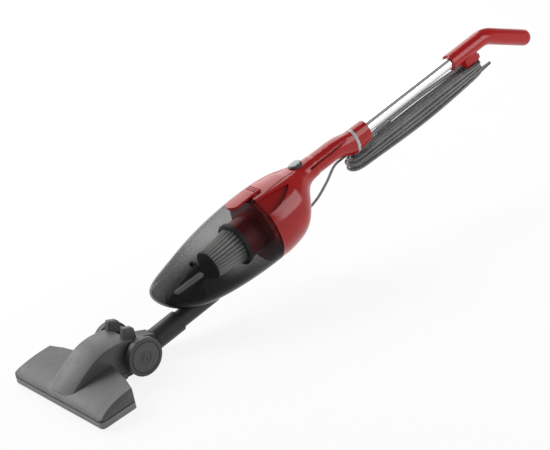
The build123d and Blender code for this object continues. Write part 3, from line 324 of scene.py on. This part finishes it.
def wheel_face(name, colour):
    """Turned-looking wheel plastic: fine rings about the axle under a satin grain, scuffed at the tread."""
    ring_angle = 5200.0
    tread = (0.0305, 0.0335)
    f = Finish(name)
    place = f.place(centre=tuple(AXLE))
    _, back, up = f.split(place)
    reach = (back ** 2.0 + up ** 2.0) ** 0.5
    rings = (reach * ring_angle).wave()
    fine = f.noise(place, 1800.0, 2.0)
    mottle = f.noise(place, 40.0, 3.0)
    scuff = reach.ease(*tread) * f.noise(place, 140.0, 4.0).ease(0.4, 0.7)
    base = f.mix(mottle, shade(colour, 0.92), shade(colour, 1.1))
    base = f.mix(scuff * 0.6, base, shade(colour, 2.2))
    return f.surface(Base_Color=base, Roughness=0.44 + scuff * 0.25 + fine * 0.05,
                     Normal=f.bump(rings * 0.35 + fine * 0.6, 0.16, 0.00015), Specular_IOR_Level=0.45)


# Pieces
def own(piece, body, material, replaced=()):
    """Link a piece, give it its finish and set it on its body, in place of the nodes it replaces."""
    bpy.context.scene.collection.objects.link(piece)
    piece.data.materials.append(material)
    if piece.type == "MESH":
        piece.data.shade_smooth()
        piece.data.set_sharp_from_angle(angle=CREASE)
    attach(piece, body)
    if replaced:
        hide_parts(*replaced)
    return piece


def new_piece(name, bm, body, material, replaced=()):
    """Turn a bmesh into a piece with closed seams and faces that point outwards."""
    bmesh.ops.remove_doubles(bm, verts=bm.verts, dist=MERGED)
    bmesh.ops.recalc_face_normals(bm, faces=bm.faces)
    mesh = bpy.data.meshes.new(name)
    bm.to_mesh(mesh)
    bm.free()
    own(bpy.data.objects.new(name, mesh), body, material, replaced)


def dress(material, *names):
    """Give CAD nodes a finish."""
    for name in names:
        finishes = nodes[name].data.materials
        finishes.clear()
        finishes.append(material)


def polish(material, *names, ease=0.0):
    """Stand merged copies of CAD nodes in for them, drawn in by ease millimetres, for smooth shading."""
    for name in names:
        bm = bmesh.new()
        bm.from_mesh(nodes[name].data)
        bmesh.ops.remove_doubles(bm, verts=bm.verts, dist=MERGED)
        bm.normal_update()
        for vert in bm.verts:
            vert.co -= vert.normal * ease * MM
        mesh = bpy.data.meshes.new(name + "_skin")
        bm.to_mesh(mesh)
        bm.free()
        if mesh.has_custom_normals:
            mesh.attributes.remove(mesh.attributes["custom_normal"])
        own(bpy.data.objects.new(mesh.name, mesh), bodies[name], material, [name])


def turned(bm, profile, placing, steps):
    """Spin a profile of radius and height pairs, in millimetres, and put it in its place."""
    rim = [bm.verts.new((radius * MM, 0, height * MM)) for radius, height in profile]
    edges = [bm.edges.new(pair) for pair in zip(rim, rim[1:])]
    bmesh.ops.spin(bm, geom=rim + edges, cent=(0, 0, 0), axis=(0, 0, 1), angle=2 * math.pi, steps=steps,
                   use_merge=True)
    fresh = [vert for vert in bm.verts if not vert.tag]
    bmesh.ops.transform(bm, matrix=placing, verts=fresh)
    for vert in fresh:
        vert.tag = True


def standing(origin, up):
    """Placing at a point, with Z along up and X near the stick's side."""
    z = up.normalized()
    y = z.cross(SIDE).normalized()
    turn = Matrix((y.cross(z), y, z)).transposed().to_4x4()
    return Matrix.Translation(origin) @ turn


class CleanerColours(bpy.types.PropertyGroup):
    """Colours of the cleaner's mouldings and finishes."""

    head: bpy.props.FloatVectorProperty(
        name="Floor head", description="Dark grained plastic of head and neck",
        subtype="COLOR", size=3, min=0, max=1, default=(0.09, 0.09, 0.092))
    red: bpy.props.FloatVectorProperty(
        name="Body red", description="Glossy plastic of body and handle",
        subtype="COLOR", size=3, min=0, max=1, default=(0.36, 0.005, 0.006))
    smoke: bpy.props.FloatVectorProperty(
        name="Bin smoke", description="Tint of the clear bin",
        subtype="COLOR", size=3, min=0, max=1, default=(0.012, 0.012, 0.0125))
    smoke_density: bpy.props.FloatProperty(
        name="Bin density", description="Opacity of each face of the bin's upper wall",
        subtype="FACTOR", min=0, max=1, default=0.47)
    grey: bpy.props.FloatVectorProperty(
        name="Button grey", description="Pale satin plastic of button and ring",
        subtype="COLOR", size=3, min=0, max=1, default=(0.42, 0.43, 0.43))
    cord: bpy.props.FloatVectorProperty(
        name="Cord", description="Sheath of the mains cord",
        subtype="COLOR", size=3, min=0, max=1, default=(0.14, 0.142, 0.144))


class CleanerCord(bpy.types.PropertyGroup):
    """Sizes of the mains cord and of the way it is wound."""

    diameter: bpy.props.FloatProperty(
        name="Diameter", description="Thickness of the cord",
        subtype="DISTANCE", unit="LENGTH", min=0.002, max=0.01, default=0.005)
    gap: bpy.props.FloatProperty(
        name="Gap", description="Room between neighbouring turns",
        subtype="DISTANCE", unit="LENGTH", min=0.0, max=0.003, default=0.00065)
    layers: bpy.props.IntProperty(
        name="Layers", description="Layers of turns on the hooks", min=1, max=6, default=4)
    loops: bpy.props.IntProperty(
        name="Loops", description="Loops in each layer", min=1, max=4, default=2)


class CleanerStage(bpy.types.PropertyGroup):
    """Shade of the stage and strength of its lamps."""

    floor: bpy.props.FloatVectorProperty(
        name="Floor", description="Colour of the floor",
        subtype="COLOR", size=3, min=0, max=1, default=(0.9, 0.9, 0.9))
    key: bpy.props.FloatProperty(
        name="Key", description="Power that each lamp takes its share of",
        subtype="POWER", min=0, max=500, default=45.0)
    sky: bpy.props.FloatProperty(
        name="Sky", description="Strength of the light from all round",
        subtype="FACTOR", min=0, max=2, default=0.3)


class CLEANER_OT_head(bpy.types.Operator):
    """Finish the floor head, wheels and neck, and fit the screws and the lint strips"""

    bl_idname = "cleaner.head"
    bl_label = "Floor Head"

    # Height in metres of the seam between cover and sole, then the fittings in millimetres
    seam = 0.0139
    screw_spots = ((-70, 4, 3), (70, 4, 3), (-22, 48, 6), (22, 48, 6))
    screw_profile = ((0, -0.9), (0.9, -0.9), (1.2, -1.7), (1.9, -1.5), (2.5, -0.9), (2.5, 0.0), (0, 0.0))
    screw_steps = 16
    strip_lines = (-48.0, -20.0)
    strip_half_length = 112.0
    strip_half_width = 2.0
    strip_root = 1.3
    pile_height = 1.0
    pile_crown = 0.6
    knuckle_ease = 0.3

    # Waves of the pile: depth in millimetres, and angle along and across half a strip in radians
    ruffles = ((0.12, 410, 0), (0.1, 173, 9))

    def execute(self, context):
        colours = context.scene.cleaner_colours
        pale = shade(colours.head, 2.4)
        dress(grained_moulding("head_grain", colours.head, roughness=0.44, seam=self.seam), "nozzle_cover")
        dress(grained_moulding("sole_grain", pale, roughness=0.5, seam=self.seam), "sole_plate")
        neck = grained_moulding("neck_grain", shade(colours.head, 0.28), roughness=0.42)
        dress(neck, "neck_sleeve", "inlet_spigot")
        polish(neck, "neck_knuckle", ease=self.knuckle_ease)
        dress(wheel_face("wheel_plastic", shade(colours.head, 0.6)), "wheel_left", "wheel_right")
        dress(wheel_face("wheel_cap_plastic", shade(colours.head, 0.8)), "wheel_cap_left", "wheel_cap_right")
        steel = plated("turned_steel", (0.6, 0.6, 0.61), roughness=0.3, streak=0.05)
        dress(steel, "axle_pin_left", "axle_pin_right", "latch_pin", "flap_pin", "motor_shaft")
        self.screws(steel)
        self.strips(lint_pile("red_pile", (0.3, 0.02, 0.022)))
        return {"FINISHED"}

    def screws(self, steel):
        """Recessed pan heads in the screw holes of the sole."""
        bm = bmesh.new()
        for spot in self.screw_spots:
            turned(bm, self.screw_profile, Matrix.Translation(Vector(spot) * MM), self.screw_steps)
        new_piece("sole_screw_heads", bm, "floor_head", steel, ["sole_screws"])

    def strips(self, pile):
        """Strips of pile beside the suction slot, crowned and ruffled."""
        bm = bmesh.new()
        for line in self.strip_lines:
            grid = bmesh.ops.create_grid(bm, x_segments=150, y_segments=5, size=1.0)["verts"]
            for vert in grid:
                along, across, _ = vert.co
                crown = (1 - across ** 2) ** self.pile_crown
                ruffle = sum(depth * math.sin(along * waves + across * slant)
                             for depth, waves, slant in self.ruffles)
                vert.co = Vector((along * self.strip_half_length, line + across * self.strip_half_width,
                                  self.strip_root - (self.pile_height + ruffle) * crown)) * MM
        new_piece("lint_strip_pile", bm, "floor_head", pile, ["lint_strips"])


class CLEANER_OT_bin(bpy.types.Operator):
    """Finish the smoked bin and what stands in it"""

    bl_idname = "cleaner.bin"
    bl_label = "Dust Bin"

    # The inlet duct, with its foot along and above the stick, and the pale rib on it that paints a highlight
    # along the duct, in millimetres and degrees
    duct_foot = (116.0, 16.0)
    duct_radius = 16.9
    duct_slope = 13.0
    painted_highlight_middle = 33.0
    painted_highlight_half_length = 29.0
    painted_highlight_half_width = 5.2
    painted_highlight_height = 1.1
    painted_highlight_turn = 48.0
    painted_highlight_wind = 22.0

    def execute(self, context):
        colours = context.scene.cleaner_colours
        smoke = smoked_clear("smoked_wall", colours.smoke, upper=colours.smoke_density, lower=0.85, rim=0.6)
        polish(smoke, "dust_bin")
        polish(polished_moulding("duct_black", BLACK, roughness=0.4), "inlet_duct")
        dress(pleated_paper("filter_cloth", (0.88, 0.88, 0.86)), "filter_cone")
        dress(grained_moulding("filter_end_plastic", (0.05, 0.05, 0.052), roughness=0.4),
              "filter_cap", "filter_ring")
        polish(polished_moulding("seat_red", shade(colours.red, 0.5), roughness=0.3), "filter_seat")
        dress(soft_rubber("mount_rubber", (0.03, 0.03, 0.03)),
              "flap_valve", "motor_mount_front", "motor_mount_rear")
        dress(soft_rubber("seal_rubber", shade(colours.red, 0.8)), "bin_seal")
        # The pale rib on the inlet duct is a painted highlight along the duct.
        self.rib(grained_moulding("rib_grey", shade(colours.grey, 1.7), roughness=0.4, depth=0.1))
        return {"FINISHED"}

    def rib(self, pale):
        """Low pale rib with round ends that winds a little round the inlet duct: a painted highlight along
        the duct.
        """
        slope = math.radians(self.duct_slope)
        foot_along, foot_above = self.duct_foot
        bm = bmesh.new()
        for vert in bmesh.ops.create_grid(bm, x_segments=60, y_segments=12, size=1.0)["verts"]:
            along, across, _ = vert.co
            end = max(0.0, 1 - (1 - abs(along)) * self.painted_highlight_half_length / self.painted_highlight_half_width)
            half = self.painted_highlight_half_width * math.sqrt(1 - end ** 2)
            reach = self.duct_radius + self.painted_highlight_height * (1 - max(end, abs(across)) ** 4)
            angle = math.radians(self.painted_highlight_turn + along * self.painted_highlight_wind) + across * half / self.duct_radius
            run = self.painted_highlight_middle + along * self.painted_highlight_half_length
            rise = reach * math.cos(angle)
            vert.co = stick(reach * math.sin(angle),
                            foot_along + run * math.cos(slope) - rise * math.sin(slope),
                            foot_above + run * math.sin(slope) + rise * math.cos(slope))
        new_piece("duct_rib", bm, "bin", pale)


class CLEANER_OT_body(bpy.types.Operator):
    """Finish the motor body, its latch and its switch"""

    bl_idname = "cleaner.body"
    bl_label = "Motor Body"

    # Middle and size of the dark red strip in the shaft's groove, painted shade along the crease: to the
    # side, along and above, in millimetres
    painted_crease_shade_middle = (12.55, 483.5, 68.1)
    painted_crease_shade_size = (2.5, 73.0, 4.1)

    def execute(self, context):
        colours = context.scene.cleaner_colours
        polish(polished_moulding("body_red", colours.red, roughness=0.16, seam=True),
               "body_shell_left", "body_shell_right")
        polish(polished_moulding("trim_red", colours.red, roughness=0.14),
               "top_spine", "latch_tongue", "extension_collar", "top_handle")
        polish(grained_moulding("switch_grey", colours.grey, roughness=0.4, depth=0.1),
               "power_button", "joint_ring")
        dress(polished_moulding("switch_black", BLACK, roughness=0.25),
              "switch_bezel", "switch_box", "hook_tip")
        dress(plated("motor_plating", (0.42, 0.43, 0.45), roughness=0.35, streak=0.06), "motor_can")
        dress(grained_moulding("fan_plastic", (0.45, 0.45, 0.44), roughness=0.5, depth=0.1),
              "fan_shroud", "impeller")
        # Painted shade: a darker red strip fills each groove along the shaft, where the crease lies in
        # shade.
        self.painted_crease_shade_strips(polished_moulding("inlay_red", shade(colours.red, 0.6), roughness=0.2))
        return {"FINISHED"}

    def painted_crease_shade_strips(self, red):
        """Dark red strip laid in the groove along each side of the shaft: painted shade along the crease."""
        bm = bmesh.new()
        for side in (-1, 1):
            for vert in bmesh.ops.create_cube(bm, size=1.0)["verts"]:
                spot = zip(self.painted_crease_shade_middle, vert.co, self.painted_crease_shade_size)
                x, u, n = (middle + part * size for middle, part, size in spot)
                vert.co = stick(side * x, u, n)
        new_piece("shaft_inlays", bm, "motor_body", red)


class CLEANER_OT_handle(bpy.types.Operator):
    """Finish the extension tube and the cord hooks"""

    bl_idname = "cleaner.handle"
    bl_label = "Handle"

    def execute(self, context):
        colours = context.scene.cleaner_colours
        polish(plated("tube_chrome", (0.84, 0.85, 0.86), roughness=0.1, streak=0.01), "chrome_tube")
        dress(grained_moulding("hook_plastic", shade(colours.head, 0.75), roughness=0.4),
              "lower_hook", "upper_hook")
        return {"FINISHED"}


class CLEANER_OT_cord(bpy.types.Operator):
    """Wind the mains cord round its hooks and fit its plug and gland"""

    bl_idname = "cleaner.cord"
    bl_label = "Mains Cord"

    # The hank on its two posts, the lead and the plug: places on the stick, in millimetres and degrees
    posts = (551.0, 862.0)
    post_radius = 4.2
    post_gap = 0.4
    half_corner = 22.5
    hank_top = 24.2
    waist = 12.0
    waist_step = 6.0
    fan = 5.0
    run_out = 30.0
    run_out_share = 0.3
    lead_side = 18.5
    lead_stop = 10.0
    lead_reach = 20.0
    lead_route = ((-2.5, 462.0, 2.5), (-7.0, 487.0, 11.5), (-13.5, 506.0, 18.5))
    plug = (-38.0, 640.0, 8.0)
    plug_run = (30.0, 6.0, 0.0)

    # The gland, with heights above its root, in millimetres and degrees
    gland_root = (0.0, 388.3, -13.0)
    gland_tilt = 10.0
    gland_radius = 5.0
    gland_plain = 10.0
    gland_length = 38.0
    gland_mouth = (3.3, 2.6)
    gland_steps = 24
    cord_leaves = (32.0, 56.0)
    ribs = 6
    first_rib = 11.0
    rib_pitch = 4.4
    rib_taper = 0.29
    rib_depth = 0.9
    rib_foot = 1.6
    rib_shoulder = 2.2
    rib_end = 4.0
    rib_draft = 0.15

    def gland_spot(self, distance):
        """Point on the gland's axis, in millimetres from its root."""
        tilt = math.radians(self.gland_tilt)
        return stick(*self.gland_root) + (ALONG * math.cos(tilt) + ABOVE * math.sin(tilt)) * distance * MM

    def lead(self):
        """Points of the lead from the gland to the hank."""
        top = self.hank_top - self.gap - self.radius
        start = stick(-self.lead_side, self.posts[0] - self.lead_stop, top)
        return [*[self.gland_spot(distance) for distance in self.cord_leaves],
                *[stick(*spot) for spot in self.lead_route], start - ALONG * self.lead_reach * MM, start]

    def hank(self):
        """Points of the turns: the corners of an octagon round each post and three points on each run."""
        step = 2 * self.radius + self.gap
        quarters = 4 * self.loops
        middle = sum(self.posts) / 2
        points = []
        for quarter in range(quarters * self.layers):
            layer, place = divmod(quarter, quarters)
            lane = (quarters - 1 - place) / 4 if layer % 2 == 0 else place / 4
            height = self.hank_top - self.gap - self.radius - step * layer
            turn = self.post_radius + self.post_gap + self.radius + step * lane
            waist = self.waist + self.waist_step * lane
            way = quarter % 4
            if way in (0, 2):
                side = way - 1
                rise = self.fan * (1 - 2 * layer / max(1, self.layers - 1))
                near = turn + self.run_out_share * (waist - turn)
                near_height = height + self.run_out_share * rise
                run = [(near, self.posts[0] + self.run_out, near_height), (waist, middle, height + rise),
                       (near, self.posts[1] - self.run_out, near_height)]
                points += [stick(side * x, u, n) for x, u, n in (run if way == 0 else run[::-1])]
            else:
                centre, out = (self.posts[1], 1) if way == 1 else (self.posts[0], -1)
                corner = turn / math.cos(math.radians(self.half_corner))
                for halves in (7, 5, 3, 1):
                    angle = math.radians(halves * self.half_corner)
                    points.append(stick(out * corner * math.cos(angle),
                                        centre + out * corner * math.sin(angle), height))
        return points

    def execute(self, context):
        sizes = context.scene.cleaner_cord
        colours = context.scene.cleaner_colours
        self.radius = sizes.diameter / 2 / MM
        self.gap = sizes.gap / MM
        self.layers = sizes.layers
        self.loops = sizes.loops
        plug_end = stick(*self.plug)
        route = self.lead() + self.hank() + [plug_end - ALONG * (back * MM) for back in self.plug_run]
        curve = bpy.data.curves.new("mains_cord", "CURVE")
        curve.dimensions = "3D"
        curve.bevel_depth = sizes.diameter / 2
        curve.bevel_resolution = 3
        curve.resolution_u = 8
        curve.use_fill_caps = True
        spline = curve.splines.new("NURBS")
        spline.points.add(len(route) - 1)
        for point, spot in zip(spline.points, route):
            point.co = (*spot, 1.0)
        spline.order_u = 3
        spline.use_endpoint_u = True
        cord = own(bpy.data.objects.new("mains_cord", curve), "motor_body",
                   cord_sheath("cord_sheath", colours.cord), ["cord_lead", "cord_hank"])
        rubber = soft_rubber("gland_rubber", shade(colours.cord, 0.7), roughness=0.6)
        dress(rubber, "plug_body")
        dress(plated("prong_plate", (0.74, 0.68, 0.5), roughness=0.2, streak=0.03), "plug_prongs")
        self.gland(rubber)
        return {"FINISHED"}

    def gland(self, rubber):
        """Tapered bush with ribs."""
        profile = [(0, 0), (self.gland_radius, 0), (self.gland_radius, self.gland_plain)]
        for rib in range(self.ribs):
            foot = self.first_rib + self.rib_pitch * rib
            wide = self.gland_radius - self.rib_taper * rib
            groove = wide - self.rib_depth
            profile += [(groove, foot), (groove, foot + self.rib_foot), (wide, foot + self.rib_shoulder),
                        (wide - self.rib_draft, foot + self.rib_end)]
        profile += [(radius, self.gland_length) for radius in self.gland_mouth]
        bm = bmesh.new()
        placing = standing(self.gland_spot(0), self.gland_spot(1) - self.gland_spot(0))
        turned(bm, profile, placing, self.gland_steps)
        new_piece("cord_gland_ribs", bm, "motor_body", rubber, ["cord_gland"])


class CLEANER_OT_stage(bpy.types.Operator):
    """Set the floor, the soft light and the camera"""

    bl_idname = "cleaner.stage"
    bl_label = "Stage"

    # Name of each lamp, its place, what it is aimed at, its size and its share of the key power
    lamps = (
        ("key_lamp", (-2.4, -0.6, 1.6), (0.0, 0.25, 0.1), 1.6, 1.35),
        ("top_lamp", (-1.9, 1.3, 1.7), (0.0, 0.5, 0.15), 2.2, 0.9),
        ("fill_lamp", (1.1, 1.4, 0.7), (0.0, 0.5, 0.15), 0.9, 0.22),
    )

    # The floor, the dim ceiling that gloss sees, and the camera with its turn in degrees
    floor_half = 14.0
    floor_drop = 0.0004
    floor_glow = 0.86
    ceiling_heights = (0.1, 0.42)
    ceiling_loss = 0.92
    camera_spot = (2.4427, -1.2599, 1.5194)
    camera_turn = (64.1675, 10.3095, 50.3088)
    camera_lens = 124.36

    def execute(self, context):
        stage = context.scene.cleaner_stage
        self.floor(stage)
        self.sky(context.scene, stage.sky)
        for name, spot, target, size, share in self.lamps:
            self.lamp(name, spot, target, size, stage.key * share)
        self.camera(context.scene)
        return {"FINISHED"}

    def floor(self, stage):
        """Pale floor that meets the sky without a line."""
        bm = bmesh.new()
        bmesh.ops.create_grid(bm, x_segments=8, y_segments=8, size=self.floor_half)
        mesh = bpy.data.meshes.new("floor")
        bm.to_mesh(mesh)
        bm.free()
        floor = bpy.data.objects.new("floor", mesh)
        floor.location.z = -self.floor_drop
        bpy.context.scene.collection.objects.link(floor)
        f = Finish("pale_floor")
        seen = f.ray("Camera").most(f.ray("Glossy"))
        speck = f.noise(f.place(), 6.0, 3.0)
        colour = f.mix(speck, shade(stage.floor, 0.985), stage.floor)
        matt = f.node("BsdfPrincipled", None,
                      {"Base Color": colour, "Roughness": 0.9, "Specular IOR Level": 0.1})
        glow = f.node("Emission", None, {"Color": (1, 1, 1, 1), "Strength": 1.0})
        blend = f.node("MixShader", None, {0: seen * self.floor_glow, 1: matt, 2: glow})
        f.node("OutputMaterial", None, {"Surface": blend})
        mesh.materials.append(f.material)

    def sky(self, scene, strength):
        """White to the camera and through glass, with a dim ceiling in gloss, and softer as a light."""
        f = Finish("studio", "worlds")
        height = f.split(f.node("TexCoord", output="Generated"))[2]
        ceiling = 1 - height.ease(*self.ceiling_heights) * self.ceiling_loss
        seen = f.ray("Camera").most(f.ray("Transmission"))
        mirrored = f.ray("Glossy") * ceiling
        brightness = seen.most(mirrored).most(strength)
        back = f.node("Background", None, {"Color": (1, 1, 1, 1), "Strength": brightness})
        f.node("OutputWorld", None, {"Surface": back})
        scene.world = f.material

    def lamp(self, name, spot, target, size, power):
        """Square soft lamp aimed at a point."""
        light = bpy.data.lights.new(name, "AREA")
        light.size = size
        light.energy = power
        lamp = bpy.data.objects.new(name, light)
        lamp.location = spot
        lamp.rotation_euler = (Vector(target) - Vector(spot)).to_track_quat("-Z", "Y").to_euler()
        bpy.context.scene.collection.objects.link(lamp)

    def camera(self, scene):
        """Long lens from above and in front of the floor head's right end."""
        lens = bpy.data.cameras.new("camera")
        lens.sensor_width = 36.0
        lens.lens = self.camera_lens
        lens.clip_end = 60.0
        camera = bpy.data.objects.new("camera", lens)
        turn = Euler([math.radians(angle) for angle in self.camera_turn])
        camera.matrix_world = Matrix.LocRotScale(Vector(self.camera_spot), turn, None)
        scene.collection.objects.link(camera)
        scene.camera = camera
        scene.view_settings.view_transform = "Standard"


class CLEANER_PT_panel(bpy.types.Panel):
    """Lists the cleaner's settings and steps"""

    bl_idname = "CLEANER_PT_panel"
    bl_label = "Upright Vacuum Cleaner"
    bl_space_type = "VIEW_3D"
    bl_region_type = "UI"
    bl_category = "Cleaner"

    def draw(self, context):
        for name in GROUPS:
            group = getattr(context.scene, name)
            box = self.layout.box()
            for key in group.bl_rna.properties.keys():
                if key not in ("rna_type", "name"):
                    box.prop(group, key)
        for step in STEPS:
            self.layout.operator(step.bl_idname)


GROUPS = {"cleaner_colours": CleanerColours, "cleaner_cord": CleanerCord, "cleaner_stage": CleanerStage}
STEPS = (CLEANER_OT_stage, CLEANER_OT_cord, CLEANER_OT_head, CLEANER_OT_bin, CLEANER_OT_body,
         CLEANER_OT_handle)


def register():
    for name, group in GROUPS.items():
        bpy.utils.register_class(group)
        setattr(bpy.types.Scene, name, bpy.props.PointerProperty(type=group))
    for step in (*STEPS, CLEANER_PT_panel):
        bpy.utils.register_class(step)


def unregister():
    for step in (CLEANER_PT_panel, *reversed(STEPS)):
        bpy.utils.unregister_class(step)
    for name, group in GROUPS.items():
        delattr(bpy.types.Scene, name)
        bpy.utils.unregister_class(group)


def main():
    register()
    bpy.ops.cleaner.stage()
    bpy.ops.cleaner.cord()
    bpy.ops.cleaner.head()
    bpy.ops.cleaner.bin()
    bpy.ops.cleaner.body()
    bpy.ops.cleaner.handle()


if __name__ == "__main__":
    main()
